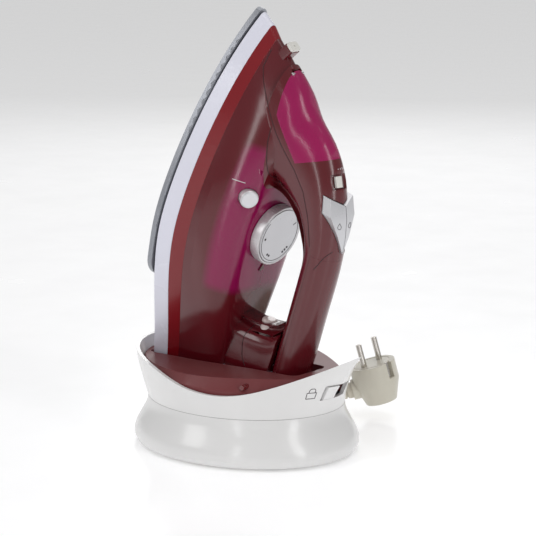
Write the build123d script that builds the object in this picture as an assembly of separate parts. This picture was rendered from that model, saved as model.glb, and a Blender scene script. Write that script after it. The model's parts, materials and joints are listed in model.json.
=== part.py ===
from build123d import *
import math
import os

os.makedirs("parts", exist_ok=True)

# A cordless steam iron parked on its charging base. The iron is drawn in its own frame:
# x runs back from the toe of the sole, y is sideways, z is the height above the sole face.
# It is then stood on its heel, leaning back by "lean", in the base's tray.

# ---- iron: overall ----
lean = 18.5                 # the iron leans back from upright
iron_len = 302.0            # toe to heel, along the sole face
sole_len = 225.0
sole_half = 62.0            # half width of the sole at its widest
wide_at = 175.0             # distance of the widest place from the toe
heel_half = 24.0            # half width of the body at the heel
sole_edge = 4.5             # thickness of the sole's rim
toe_r = 5.0                 # rounding of the toe
slit = 1.5                  # shadow gap between sole and skirt
skirt_top = 17.5
band_top = 26.0
deck = 66.0                 # top of the water tank
deck_half = 24.0            # half width of its flat top
deck_heel_half = 13.0
shoulder_steps = 8
loop_steps = 3
grip_low = 106.0            # underside of the grip
grip_high = 134.0
grip_half = 16.0
wall = 2.4                  # plastic walls
joint_gap = 0.15            # clearance between fixed neighbours
run_gap = 0.4               # clearance around pieces that move

# ---- iron: controls ----
dial_x = 163.0
dial_r = 24.2
dial_high = 8.5
spindle_r = 3.0
clean_x, clean_y, clean_z = 132.0, -33.0, 61.5   # self-clean button, square to the near shoulder
clean_tilt = 30.0
clean_r = 7.3
button_x0, button_x1 = 108.0, 149.0   # the shield of the two thumb buttons
button_half = 13.5
press = 3.0                 # travel of the thumb buttons
slider_x, slider_z = 103.0, 104.5   # centre of the slider's swing

# ---- base ----
heel_z = 62.0               # height of the floor of the tray's pocket
toe_x = 14.9                # place of the iron's toe over the base
ring_a, ring_b = 95.0, 80.0
waist_a, waist_b, waist_z = 82.5, 70.0, 38.0
rim_a, rim_b, rim_tip, rim_z = 93.0, 80.0, 117.0, 90.0
base_wall = 3.0
tray_z = 68.0
tray_wall = 3.0
foot_h = 2.0

# ---------------------------------------------------------------- frames and helpers
sin_l, cos_l = math.sin(math.radians(lean)), math.cos(math.radians(lean))
toe_z = heel_z + iron_len * cos_l
iron_pose = Plane(origin=(toe_x, 0, toe_z), x_dir=(-sin_l, 0, -cos_l),
                  z_dir=(cos_l, 0, -sin_l)).location
parts = {}


def heel_at(z):
    """Distance of the heel face from the toe, at a height above the sole."""
    return iron_len - z * math.tan(math.radians(lean))


def leaf(z, tip, half, end, end_half):
    """Plan outline of the body at one height: a leaf from the toe to the heel."""
    run = wide_at - tip
    pts = [(tip, 0), (tip + 0.12 * run, 0.26 * half), (tip + 0.43 * run, 0.70 * half),
           (tip + 0.75 * run, 0.945 * half), (wide_at, half),
           ((wide_at + end) / 2, 0.56 * half + 0.44 * end_half), (end, end_half)]
    side = Spline(*pts)
    other = mirror(side, about=Plane.XZ)
    stern = Line((end, end_half), (end, -end_half))
    face = make_face(side.edges() + stern.edges() + other.edges())
    return Pos(0, 0, z) * fillet(face.vertices().sort_by(Axis.X)[0], toe_r)


def side_prism(points, half=90.0):
    """A slab whose outline is drawn in the side view (x, z)."""
    face = make_face(Polyline(*[(x, 0, z) for x, z in points], close=True))
    return extrude(face, amount=half, both=True)


def heel_cut(offset=0.0):
    """Everything behind the heel face, moved forward by the offset."""
    pts = [(heel_at(-20) - offset, -20), (heel_at(170) - offset, 170), (420, 170), (420, -20)]
    return side_prism(pts)


def drum(x, y, z, r, h):
    return Pos(x, y, z + h / 2) * Cylinder(r, h)


def pipe(x, y, z, r, bore, h):
    return drum(x, y, z, r, h) - Pos(x, y, z + h / 2) * Cylinder(bore, h + 2)


def keep(name, shape, on_iron=True):
    parts[name] = shape.moved(iron_pose) if on_iron else shape


# ---------------------------------------------------------------- body of the iron
def skirt_face(inset=0.0, low=True):
    z, tip, half, end = ((sole_edge + slit, 2.0, sole_half - 1.0, heel_half) if low else
                         (skirt_top, 8.0, sole_half - 5.5, heel_half - 3.5))
    return leaf(z, tip + 2.2 * inset, half - inset, iron_len + 8, end - inset)


def tank_face(turn, inset=0.0, top=deck):
    """One level of the tank: its side bulges over from the band to the deck by a quarter turn."""
    up, out = math.sin(turn), math.cos(turn)
    z = band_top + (top - band_top) * up
    tip = 15.0 + 0.62 * (z - band_top) + 7.0 * (1 - out)
    half = deck_half + (sole_half - 12.5 - deck_half) * out
    end = deck_heel_half + (heel_half - 7.0 - deck_heel_half) * out
    return leaf(z, tip + 2.2 * inset, half - inset, iron_len + 8, end - inset)


def tank_solid(inset=0.0, top=deck):
    turns = [math.pi / 2 * i / shoulder_steps for i in range(shoulder_steps + 1)]
    return loft([tank_face(t, inset, top) for t in turns], ruled=True)


body_out = tank_solid()
body_in = tank_solid(wall, deck - wall)

bar_x = 200.0               # the grip is straight from here to the heel
# front of the grip loop: inner point, outer point (side view) and half width of each section
front = [
    ((124, 50), (31, 46), 22), ((124, 64), (44, 64), 21.5), ((127, 78), (59, 78), 20),
    ((138, 93), (72, 97), 18), ((150, 101), (87, 111), 17), ((158, 104.5), (106, 121), 16.5),
    ((167, grip_low), (132, 130), grip_half), ((182, grip_low), (165, grip_high), grip_half),
    ((bar_x, grip_low), (bar_x, grip_high), grip_half),
]
# rear column: height, front face, half width
rear = [(deck - 12, 233, 16.5), (76, 232.5, 15.5), (86, 231, 15), (95, 228.5, 15), (102, 225, 15.5),
        (grip_low + 2, 219, 15.8)]


def between(rows, i, t):
    """Smooth step between rows i and i + 1 of a list of number lists."""
    p0, p1, p2, p3 = (rows[max(0, min(len(rows) - 1, i + k))] for k in (-1, 0, 1, 2))
    return [0.5 * (2 * b + (c - a) * t + (2 * a - 5 * b + 4 * c - d) * t ** 2
                   + (3 * b - a - 3 * c + d) * t ** 3) for a, b, c, d in zip(p0, p1, p2, p3)]


def oval(a, b):
    """An ellipse as two equal splines, so that neighbouring sections match edge for edge."""
    turns = [math.pi * i / 8 for i in range(9)]
    half = Spline(*[(a * math.cos(t), b * math.sin(t)) for t in turns], tangents=((0, 1), (0, -1)))
    return make_face(half.edges() + mirror(half, about=Plane.XZ).edges())


def front_solid():
    """The front column, swept up from the nose and over into the grip."""
    rows = [[*near, *far, half] for near, far, half in front]
    solid = None
    for first, last in ((0, 5), (5, 7), (7, 8)):
        faces = []
        for step in range((last - first) * loop_steps + 1):
            i = min(first + step // loop_steps, len(rows) - 2)
            ix, iz, ox, oz, half = between(rows, i, first + step / loop_steps - i)
            run = math.hypot(ox - ix, oz - iz)
            plane = Plane(origin=((ix + ox) / 2, 0, (iz + oz) / 2),
                          x_dir=((ox - ix) / run, 0, (oz - iz) / run),
                          z_dir=(-(oz - iz) / run, 0, (ox - ix) / run))
            faces.append(plane * oval(run / 2, half))
        stretch = loft(faces, ruled=True)
        solid = stretch if solid is None else solid + stretch
    return solid


def rear_solid():
    """The rear column, standing on the tank behind the fingers."""
    back = 300.0
    return loft([Pos((x + back) / 2, 0, z) * oval((back - x) / 2, half) for z, x, half in rear],
                ruled=True)


grip_mid = (grip_low + grip_high) / 2
bar = Plane(origin=(bar_x, 0, grip_mid), x_dir=(0, 0, 1), z_dir=(1, 0, 0)) * oval(
    (grip_high - grip_low) / 2, grip_half)
loop_out = front_solid() + extrude(bar, 300 - bar_x) + rear_solid()
heel = heel_cut()
print("built the outer forms")

# ---------------------------------------------------------------- where the casing comes apart
# side-view line between the tank and the nose cover, from the nose to the back of the front column
seam = [(-30, band_top), (34, band_top), (45, 35), (63, 45), (77, 55), (95, 60), (121, deck - 0.6),
        (128, deck + 1)]
cover_back = 156.0          # the nose cover ends here and the grip begins
grip_split = 118.0          # the grip's lower half ends at this height
door_line = [(34.2, 50.5), (66, 57), (94, 84), (80, 112), (50, 140), (34.2, 140)]
hinge_x, hinge_z, hinge_r = 36.5, 51.0, 1.2
tank_end = 246.0            # inner face of the tank's back wall
room_floor = 67.5           # floor of the room in the front column
cell_end = 3.0              # thickness of the heel cover


def cover_region(grow=0.0):
    """Side-view outline of everything that belongs to the nose cover."""
    low = [(x, z - grow) for x, z in seam]
    return side_prism(low + [(cover_back + grow, deck + 1), (cover_back + grow, 170), (-30, 170)])


door_zone = side_prism(door_line)
outer = body_out + loop_out

# ---- sole, heater and steam chamber ----
plate = leaf(0, 0, sole_half, sole_len, 55)
plate = extrude(fillet(plate.vertices().sort_by(Axis.X)[-2:], 22), sole_edge)
core_top = skirt_top - wall
core = leaf(0, 15, sole_half - 10, sole_len - 14, 38)
core = extrude(fillet(core.vertices().sort_by(Axis.X)[-2:], 14), core_top)
element_r = 3.2
element_side = [(226, 33), (180, 40), (120, 35), (72, 21), (50, 7)]
element_path = FilletPolyline(*[(x, y, core_top) for x, y in element_side],
                              *[(x, -y, core_top) for x, y in element_side[::-1]], radius=6.5)


def along(path, r):
    return sweep(Plane(origin=path @ 0, z_dir=path % 0) * Circle(r), path=path)


element = along(element_path, element_r)
terminals = [Pos(226 + 4, y, core_top) * Rot(0, 90, 0) * Cylinder(1.6, 12) for y in (33, -33)]
vent_r = 1.9
vents = [Pos(x, side * y, sole_edge / 2) * Cylinder(vent_r, 40)
         for x, y in ((34, 9), (52, 16), (70, 22), (90, 25), (112, 27), (136, 28)) for side in (1, -1)]
vents += [Pos(22, 0, 0) * Cylinder(vent_r, 40), Pos(44, 0, 0) * Cylinder(vent_r, 40)]
chamber_top = core_top + 1.5
chamber = leaf(core_top, 66, 26, 200, 24)
chamber_pit = extrude(leaf(sole_edge + 2, 70, 23, 190, 21), 40)
sole = plate + core - chamber_pit
for cut in vents:
    sole -= cut
keep("soleplate", sole - along(element_path, element_r + joint_gap)
     - Compound([Pos(226 + 4, y, core_top) * Rot(0, 90, 0) * Cylinder(4, 14) for y in (33, -33)]))
keep("heating_element", element + terminals[0] + terminals[1])
valve_x = 99.0
keep("chamber_lid", extrude(chamber, 1.5) - drum(valve_x, 0, 0, 2.2, 40))
keep("thermostat", drum(dial_x, 0, chamber_top, 9, 2.2) + Pos(dial_x + 16, 0, chamber_top + 1)
     * Box(22, 10, 2) - drum(dial_x, 0, chamber_top + 1.0, spindle_r + 0.1, 10))

# ---- skirt, band and heat shield ----
skirt = loft([skirt_face(), skirt_face(low=False)], ruled=True)
skirt -= loft([skirt_face(wall), Pos(0, 0, -wall) * skirt_face(wall, low=False)], ruled=True)
skirt -= extrude(leaf(0, 30, sole_half - 15, iron_len - 58, 36), 60)
keep("skirt", skirt - heel - heel_cut(cell_end))
band = loft([skirt_face(low=False), tank_face(0)], ruled=True)
band -= loft([skirt_face(wall, low=False), tank_face(0, wall)], ruled=True)
keep("trim_band", band - heel_cut(cell_end))
shield_z = skirt_top + 3.5
shield = extrude(leaf(shield_z, 26, sole_half - 14.5, iron_len - 30, 22), 2)
shield -= drum(dial_x, 0, 0, spindle_r + 1, 60) + drum(valve_x, 0, 0, 2.6, 60)
keep("heat_shield", shield
     + drum(214, 0, skirt_top - wall + 0, 5, 6.2) + drum(60, 0, skirt_top - wall, 4, 6.2))
print("sole and skirt done")

# ---- water tank ----
boss = 2.0
well_r = clean_r + run_gap + boss
clean_at = Pos(clean_x, clean_y, clean_z) * Rot(clean_tilt, 0, 0)
clean_top, clean_low, well_floor, clean_end = 2.6, -9.4, -15.9, -38.0
tank = body_out - cover_region(0)
water = body_in - cover_region(wall)
water &= Pos(tank_end / 2 - 50, 0, 100) * Box(tank_end + 100, 200, 2 * (100 - band_top - wall))
tank_posts = (drum(dial_x, 0, band_top, spindle_r + boss, deck - band_top)
              + drum(valve_x, 0, band_top, 3.4, deck - band_top)
              + clean_at * drum(0, 0, well_floor - 2, well_r, 1 - well_floor)
              + clean_at * drum(0, 0, 2 * clean_end, 4.3, -clean_end * 1.6))
tank -= water - tank_posts
tank -= body_in & side_prism([(tank_end + wall, band_top - 1), (tank_end + wall, deck - wall),
                              (400, deck - wall), (400, band_top - 1)])
tank -= drum(dial_x, 0, 0, spindle_r + 0.08, 200) + drum(valve_x, 0, 0, 1.68, 200)
tank -= clean_at * (drum(0, 0, well_floor, clean_r + run_gap, 60) + drum(0, 0, 2 * clean_end, 2.3, 70))
neck_x, neck_r = 78.0, 9.0
tank -= drum(neck_x, 0, band_top + 10, neck_r + joint_gap, 60)
keep("water_tank", tank - heel_cut(cell_end))
neck_top = 73.0
keep("fill_neck", pipe(neck_x, 0, band_top + 12, neck_r, neck_r - 1.8, neck_top - band_top - 12))
print("tank done")

# ---- nose cover, fill door and grip ----
door_room = side_prism([(50, 48), (60, 67), (73, 86), (82, 97), (98, 86), (66, 48)], 11.5)
column_room = side_prism([(66, room_floor), (72, 73), (97, 90), (92, 96), (104, 105), (124, 113),
                          (152, 120), (190, 122), (190, 110), (152, 107), (138, 99), (122, 84),
                          (117, 74), (117, room_floor)], 11)
nose_room = side_prism([(36, band_top + 2), (48, 37), (66, 47), (80, 57), (92, 61), (66, 60),
                        (48, 49), (40, 46)], 9)
grip_room = side_prism([(190, 110), (190, 126), (242, 126), (254, 112), (270, 96), (276, 70),
                        (244, 70), (240, 84), (236, 100), (224, 110)], 10)
slider_axis = Plane(origin=(slider_x, 0, slider_z), x_dir=(-0.466, 0, 0.885),
                    z_dir=(0.885, 0, 0.466))


def sector(r_low, r_high, length, start, end):
    """A piece of a ring about the slider's axis, from one angle to another."""
    turns = [math.radians(t) for t in (start, end)]
    wedge = Polyline((0, 0), *[(40 * math.cos(t), 40 * math.sin(t)) for t in turns], close=True)
    ring = Cylinder(r_high, length) - Cylinder(r_low, length + 1)
    return slider_axis * (ring & extrude(make_face(wedge), amount=length, both=True))


def shield_plan(grow, side):
    """Plan of one thumb button, or of the well for both."""
    g, s, c = grow, side, 0.0 if grow else 0.25
    pts = [(button_x0 + 5 - 1.5 * g, s * c), (button_x0 - g, s * (button_half + g)),
           (button_x0 + 13, s * (button_half + 0.8 + g)), (button_x1 + 2 * g, s * c)]
    return make_face(Polyline(*pts, close=True))


button_low = 109.0
well_low = button_low - press - 1.0
well = [Pos(0, 0, well_low) * extrude(shield_plan(run_gap, side), 60) for side in (1, -1)]
crown = make_face(Polyline((96, 0, 90), (96, 0, 117), (108, 0, 124.5), (122, 0, 130.5),
                           (136, 0, 134), (156, 0, 136), (156, 0, 90), close=True))
plunger_r = 2.0
pump_x, pump_y, pump_top = 112.5, 5.8, 96.0
nozzle_at = Plane(origin=(24.5, 0, 37.5), x_dir=(0.53, 0, 0.848), z_dir=(-0.848, 0, 0.53))
nozzle_block = nozzle_at * fillet(Box(9, 11, 11).edges().filter_by(Axis.Z), 2)
cap = Pos(0, 0, 6.75) * fillet(Box(8, 10, 2.5).edges().filter_by(Axis.Z), 2)
hinge_pin = Pos(hinge_x, 0, hinge_z) * Rot(90, 0, 0) * Cylinder(hinge_r, 13)
hinge_hole = Pos(hinge_x, 0, hinge_z) * Rot(90, 0, 0) * Cylinder(hinge_r + 0.05, 13.4)

seat = cover_region(0)
cover = (outer & seat) - door_zone - column_room - nose_room - nozzle_block
cover -= side_prism([(-30, 50.5), (hinge_x, 50.5), (hinge_x, 80), (-30, 80)])
cover -= side_prism([(33.5, 48.3), (hinge_x, 48.3), (hinge_x, 51), (33.5, 51)], 5.4)
cover -= drum(neck_x, 0, band_top, neck_r + joint_gap, 60) + drum(valve_x, 0, 0, 1.75, 104)
cover -= sector(10.2, 22, 11.4, -38, 38) + well[0] + well[1] + hinge_hole
cover -= drum(pump_x, pump_y, pump_top - 1, 4.2, 14) + drum(pump_x, -pump_y, pump_top - 1, 4.2, 14)
door = (outer & door_zone) - door_room - hinge_hole
grip = (outer - body_out) - seat - grip_room
grip &= side_prism([(cover_back - 6, 40), (cover_back - 6, 170), (400, 170), (400, 40)])
lower = side_prism([(0, 0), (0, grip_split), (400, grip_split), (400, 0)])
lamp_z, lamp_r = 87.0, 6.0
lamp = Pos(235.5, 0, lamp_z) * Rot(0, 90, 0) * Cylinder(lamp_r, 14)
lamp = fillet(lamp.edges().sort_by(Axis.X)[0], 2)
screw_z = 124.0
screw_x = heel_at(screw_z)
keep("nose_cover", cover)
keep("fill_door", door)
keep("door_hinge_pin", hinge_pin)
keep("nozzle_block", nozzle_block)
keep("spray_nozzle", nozzle_at * (cap - Pos(0, 0, 8) * Cylinder(0.7, 2)))
keep("grip_under", (grip & lower) - heel_cut(cell_end)
     - Pos(236, 0, lamp_z) * Rot(0, 90, 0) * Cylinder(lamp_r + joint_gap, 20))
keep("grip_top", (grip - lower) - heel_cut(cell_end)
     - Pos(screw_x, 0, screw_z) * Rot(0, 90, 0) * Cylinder(1.5 + joint_gap, 26))
keep("lamp_lens", lamp)

# ---- heel cover, screw and connector ----
plug_z, pocket_y, pocket_z, pocket_x = 48.0, 11.0, 7.0, 270.0
full = outer + loft([skirt_face(), skirt_face(low=False)], ruled=True) + loft(
    [skirt_face(low=False), tank_face(0)], ruled=True)
pocket = Pos((pocket_x + 320) / 2, 0, plug_z) * Box(320 - pocket_x, 2 * pocket_y, 2 * pocket_z)
head = Pos(screw_x - 0.5, 0, screw_z) * Rot(0, 90, 0) * Cylinder(3.0, 2.4)
keep("heel_cover", (full & (heel_cut(cell_end) - heel)) - pocket
     - Pos(screw_x + 1, 0, screw_z) * Rot(0, 90, 0) * Cylinder(3.0 + joint_gap, 7)
     - Pos(screw_x, 0, screw_z) * Rot(0, 90, 0) * Cylinder(1.5 + joint_gap, 26))
keep("heel_screw", (head + Pos(screw_x - 7, 0, screw_z) * Rot(0, 90, 0) * Cylinder(1.5, 11))
     - Pos(screw_x + 1, 0, screw_z) * Box(2, 0.8, 4.4) - heel_cut(0.3))
socket = Pos(276, 0, plug_z) * Box(24, 2 * pocket_y + 5, 2 * pocket_z + 5) - pocket
keep("heel_connector", socket - heel_cut(cell_end))
keep("heel_contacts", Compound([Pos(pocket_x + 0.4, y, plug_z) * Box(0.8, 3, 8) for y in (-6, 0, 6)]))

# ---- dial ----
dial_low = deck + run_gap
dial_top = dial_low + dial_high
face_r = dial_r - 2.0
socket_top = dial_low + 4
keep("temperature_dial", drum(dial_x, 0, dial_low, dial_r, dial_high - 0.3)
     - drum(dial_x, 0, dial_top - 1.3, face_r + joint_gap, 4)
     - drum(dial_x, 0, dial_low - 1, spindle_r + 0.05, socket_top - dial_low + 1))
keep("dial_face", drum(dial_x, 0, dial_top - 1.3, face_r, 1.3))
spindle_low = chamber_top + 1.2
keep("dial_spindle", drum(dial_x, 0, spindle_low, spindle_r, socket_top - spindle_low))
pointer = make_face(Polyline((dial_x + dial_r + 2.5, 0), (dial_x + dial_r + 9, 3.2),
                             (dial_x + dial_r + 9, -3.2), close=True))
keep("dial_pointer", Pos(0, 0, deck) * extrude(pointer, 1.0))

# ---- self-clean button ----
keep("clean_button", clean_at * (drum(0, 0, clean_low, clean_r, clean_top - clean_low - 0.8)
                                 + drum(0, 0, clean_end, 2.2, clean_low - clean_end)))
keep("clean_button_face", clean_at * drum(0, 0, clean_top - 0.8, clean_r - 0.8, 0.8))


def spring(x, y, low, high, r, wire, turns):
    """A compression spring standing between two faces."""
    rise = high - low - 2 * wire - 0.1
    path = Helix(pitch=rise / turns, height=rise, radius=r)
    coil = sweep(Plane(origin=path @ 0, z_dir=path % 0) * Circle(wire), path=path)
    return Pos(x, y, low + wire + 0.05) * coil


keep("clean_spring", clean_at * spring(0, 0, well_floor, clean_low, 4.2, 0.5, 3))

# ---- steam slider, thumb buttons, pumps ----
slider_rest = 18.0
keep("slider_track", sector(10.2, 12.0, 11.0, -37.5, 37.5))
keep("steam_slider", sector(12.05, 16.6, 8.5, slider_rest - 9, slider_rest + 9))
keep("steam_valve_rod", drum(valve_x, 0, core_top + 0.2, 1.6, 92 - core_top))
for name, side in (("spray", -1), ("boost", 1)):
    plan = Pos(0, 0, button_low) * extrude(shield_plan(0, side), 60)
    roof = extrude(crown, amount=24, dir=(0, side, -0.28))
    button = (plan & roof) + drum(pump_x, side * pump_y, 82, plunger_r, button_low - 81)
    keep(f"{name}_button", button)
    keep(f"{name}_pump", pipe(pump_x, side * pump_y, room_floor, 4.5, plunger_r + 0.06,
                              pump_top - room_floor))
    keep(f"{name}_spring", spring(pump_x, side * pump_y, pump_top, button_low, 3.2, 0.45, 5))

# ---- shut-off board in the grip ----
keep("auto_off_board", Pos(206, 0, 110.8) * Box(30, 17, 1.6) + Pos(200, 3, 114) * Box(11, 8, 5))
print("covers done")

# ---------------------------------------------------------------- base
def drop_half(x, a, b, tip, sharp):
    """Half width of the base's plan at one place: an ellipse to the left, a point to the right."""
    if x < 0:
        return b * math.sqrt(max(0.0, 1 - (x / a) ** 2))
    s = min(1.0, x / tip)
    return b * ((1 - sharp) * math.sqrt(1 - s * s) + sharp * (1 - s ** 1.45))


def drop_shape(z, a, b, tip, sharp):
    """Plan outline of the base: round at the left, drawn to a corner at the right."""
    left = [EllipticalCenterArc((0, 0), a, b, start, arc_size=90) for start in (90, 180)]
    ends = [(0, b)] + [(tip * s, drop_half(tip * s, a, b, tip, sharp))
                       for s in (0.18, 0.36, 0.54, 0.72, 0.86, 0.95, 1.0)]
    near = Spline(*[(x, -y) for x, y in ends])
    far = Spline(*ends)
    return Pos(0, 0, z) * make_face(left[0].edges() + left[1].edges() + near.edges() + far.edges())


def base_low(inset=0.0):
    levels = []
    for i in range(9):
        t = i / 8
        z = foot_h + (waist_z - foot_h) * t
        pinch = 0.5 - 0.5 * math.cos(math.pi * max(0.0, (t - 0.15) / 0.85))
        tuck = 2.5 * max(0.0, 1 - t / 0.15)
        a = ring_a - tuck - (ring_a - waist_a) * pinch - inset
        b = ring_b - tuck - (ring_b - waist_b) * pinch - inset
        levels.append(drop_shape(z, a, b, a, 0))
    return loft(levels, ruled=True)


def base_high(inset=0.0):
    levels = []
    for i in range(9):
        t = i / 8
        z = waist_z + (rim_z - waist_z) * t
        flare = 1 - math.cos(math.pi / 2 * t)
        open_ = math.sin(math.pi / 2 * t)
        a = waist_a + (rim_a - waist_a) * open_ - inset
        b = waist_b + (rim_b - waist_b) * open_ - inset
        tip = waist_a + (rim_tip - waist_a) * (0.55 * t + 0.45 * flare) - inset * (1 + 0.6 * t)
        levels.append(drop_shape(z, a, b, tip, 0.95 * t))
    return loft(levels, ruled=True)


def rim_cut(lift=0.0):
    """Everything above the rim's saddle line."""
    line = Spline(*[(x, 0, z + lift) for x, z in
                    ((-120, 76), (-54, 74), (-30, 69), (10, 57.5), (40, 56.5), (70, 65.5), (93, 76),
                     (125, 93))])
    lid = Polyline((125, 0, 93 + lift), (125, 0, 140), (-120, 0, 140), (-120, 0, 76 + lift))
    return extrude(make_face(line.edges() + lid.edges()), amount=120, both=True)


# ---- shells ----
cord_r = 3.5
exit_at = (-36.5, 48.5, 9.0)            # where the cord leaves its clip
lower_shell = base_low() - base_low(base_wall)
mouth = Pos(-27, 76, 6) * Rot(0, 0, 20) * Box(12, 22, 14)
keep("base_lower", lower_shell - mouth, False)
lock_low, lock_high, lock_y0, lock_y1 = 51.0, 63.0, -14.0, 15.0
lock_hole = Pos(88, (lock_y0 + lock_y1) / 2, (lock_low + lock_high) / 2) * Box(
    30, lock_y1 - lock_y0, lock_high - lock_low)
shell = base_high() - base_high(base_wall) - rim_cut()
keep("base_upper", shell - lock_hole, False)

# ---- tray with the pocket for the heel ----
tray_fit = base_high(base_wall + 0.3)
tray = loft([drop_shape(52, 96, 82, 114, 0.9), drop_shape(tray_z, 87.5, 67, 104, 1)], ruled=True)
tray_in = loft([drop_shape(51.9, 93, 79, 111, 0.9),
                drop_shape(tray_z - tray_wall, 84.5, 64, 100, 1)], ruled=True)
tray_out = tray & tray_fit
tray_hollow = tray_in & base_high(base_wall + 0.3 + tray_wall)


def pocket_plan(grow):
    pts = [(-78 - grow, 30 + grow), (-25, 28 + grow), (25, 22 + grow), (66 + grow, 20 + grow)]
    face = make_face(Polyline(*pts, *[(x, -y) for x, y in pts[::-1]], close=True))
    return fillet(face.vertices(), 7)


heel_pocket = Pos(0, 0, heel_z) * extrude(pocket_plan(0), 20)
cup = Pos(0, 0, heel_z - tray_wall) * extrude(pocket_plan(tray_wall), tray_z - heel_z + tray_wall - 0.5)
lock_bay = Pos(90, (lock_y0 + lock_y1) / 2, 56) * Box(31, lock_y1 - lock_y0 + 2, 17)
tray_solid = (tray_out - tray_hollow) + (cup & tray_out) - heel_pocket - lock_bay
led_x, led_z = 44.0, 62.5
led_y = -drop_half(led_x, 90, 73, 109, 0.95)
led = Pos(led_x, led_y + 1.5, led_z) * Rot(90, 0, 0) * Cylinder(2.2, 9)
keep("tray", tray_solid - Pos(led_x, led_y, led_z) * Rot(90, 0, 0) * Cylinder(2.3, 30), False)
keep("charge_light", led, False)
tower_x = heel_at(plug_z)
tower = Pos(tower_x, 0, plug_z) * Box(24, 2 * pocket_y - 3, 2 * pocket_z - 3)
floor_cut = Pos(0, 0, heel_z - 25) * Box(400, 400, 50)
keep("contact_tower", tower.moved(iron_pose) - floor_cut, False)
blades = [Pos(tower_x - 12 - 1.3, y, plug_z) * Box(2.6, 1.2, 7) for y in (-6, 0, 6)]
keep("tower_contacts", Compound(blades))

# ---- lock ----
lock_x, lock_rest, lock_travel = 76.0, -7.5, 12.0
keep("lock_track", Pos(lock_x + 1, (lock_y0 + lock_y1) / 2, (lock_low + lock_high) / 2) * Box(
    2, lock_y1 - lock_y0 - 0.4, lock_high - lock_low + 3), False)
knob = Pos(lock_x + 17, lock_rest, (lock_low + lock_high) / 2) * Box(29.6, 10, lock_high - lock_low - 1)
knob = knob & base_high(-1.2)
keep("lock_slider", knob, False)

# ---- floor plate with the cord drum, feet ----
plate_z, core_r, drum_r = 28.0, 31.0, 54.0
slab = Pos(0, 0, plate_z + 1.5) * Box(300, 300, 3)
posts = [(sx * 58, sy * 36) for sx in (1, -1) for sy in (1, -1)]
floor = (base_low(base_wall + joint_gap) & slab) + pipe(0, 0, 6.5, core_r, core_r - 2.5, plate_z - 6.5)
for turn in (20, 110, 200, 290):
    floor += Rot(0, 0, turn) * Pos((core_r - 2 + drum_r) / 2, 0, 5.5) * Box(drum_r - core_r + 2, 13, 2)
for x, y in posts:
    floor += drum(x, y, 4.5, 6.5, plate_z - 4.5)
keep("floor_plate", floor, False)
for number, (x, y) in enumerate(posts, 1):
    keep(f"foot_{number}", drum(x, y, 0, 6.0, 4.5), False)

# ---- supply in the base ----
board_z = plate_z + 3
keep("supply_board", Pos(-8, 0, board_z + 0.8) * Box(86, 56, 1.6), False)
keep("supply_relay", Pos(-28, 8, board_z + 1.6 + 8) * Box(26, 20, 16), False)

# ---- cord: coil under the base, tail to the plug ----
plug_exit = (-0.734, -0.628, -0.259)
plug_up = (-0.197, -0.168, 0.966)
plug_face = (27.0, 127.0, 45.0)
plug_r, sleeve_len, sleeve_drop = 19.0, 28.0, 18.0
plug_at = Plane(origin=plug_face, x_dir=plug_exit, z_dir=plug_up)
sleeve_end = plug_at.from_local_coords((plug_r + sleeve_len, 0, -sleeve_drop))
bend = plug_at.from_local_coords((plug_r + sleeve_len + 26, 0, -sleeve_drop))
route = FilletPolyline(tuple(sleeve_end), tuple(bend), exit_at, radius=40)
print("cord bend radii", [round(e.radius, 1) for e in route.edges() if e.geom_type == GeomType.CIRCLE])
clip_at = Plane(origin=exit_at, z_dir=route % 1)
clip = Pos(exit_at[0], exit_at[1], (4 + plate_z) / 2) * Rot(0, 0, -21.3) * Box(12, 9, plate_z - 4)
bore = clip_at * Cylinder(cord_r + 0.05, 20)
keep("cord_clip", clip - bore, False)
coil = pipe(0, 0, 6.8, drum_r - 1, core_r + 0.3, 3 * 2 * cord_r - 0.1)
keep("cord_coil", coil + clip_at * Pos(0, 0, 6) * Cylinder(cord_r, 12), False)
keep("cord_tail", along(route, cord_r), False)

# ---- plug ----
pin_turn = Rot(0, 0, 45)
body = Pos(0, 0, -8) * Cylinder(plug_r, 16)
body += loft([Pos(0, 0, -16) * Circle(plug_r), Pos(0, 0, -33) * Circle(plug_r - 6)])
body += Pos(11, 0, -sleeve_drop) * Rot(0, 90, 0) * Cylinder(8.5, 20)
grooves = pin_turn * Compound([Pos(0, s * (plug_r - 1), -6) * Box(6, 5, 14) for s in (1, -1)])
pins = [pin_turn * Pos(s * 9.5, 0, 5.5) * Cylinder(2.4, 27) for s in (1, -1)]
holes = pin_turn * Compound([Pos(s * 9.5, 0, 5.5) * Cylinder(2.42, 27.2) for s in (1, -1)])
keep("plug_body", (plug_at * (body - grooves - holes)), False)
keep("plug_pins", plug_at * Compound(pins), False)
earth = pin_turn * Compound([Pos(0, s * (plug_r - 3), -6.4) * Box(4, 1, 13) for s in (1, -1)])
keep("earth_contacts", plug_at * earth, False)
sleeve = loft([Circle(6.6), Pos(0, 0, sleeve_len - 2) * Circle(4.6)])
for ring in range(5):
    sleeve -= Pos(0, 0, 5 + 4.4 * ring) * (Cylinder(12, 1.4) - Cylinder(5.2 - 0.28 * ring, 1.4))
keep("plug_sleeve", plug_at * (Pos(plug_r + 2, 0, -sleeve_drop) * Rot(0, 90, 0) * sleeve), False)

# the origin is put on the floor under the middle of the base and iron, the cord left out
cord_parts = ("cord_coil", "cord_tail", "plug_sleeve", "plug_body", "plug_pins", "earth_contacts")
still = [shape.bounding_box() for name, shape in parts.items() if name not in cord_parts]
middle = (min(b.min.X for b in still) + max(b.max.X for b in still)) / 2
print("moved along X by", round(-middle, 3))
parts = {name: Pos(-middle, 0, 0) * shape for name, shape in parts.items()}

for name, shape in parts.items():
    print(name, round(shape.volume), len(shape.solids()), [round(v, 1) for v in
          (*shape.bounding_box().min, *shape.bounding_box().max)])
    export_step(shape, f"parts/{name}.step")
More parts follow.
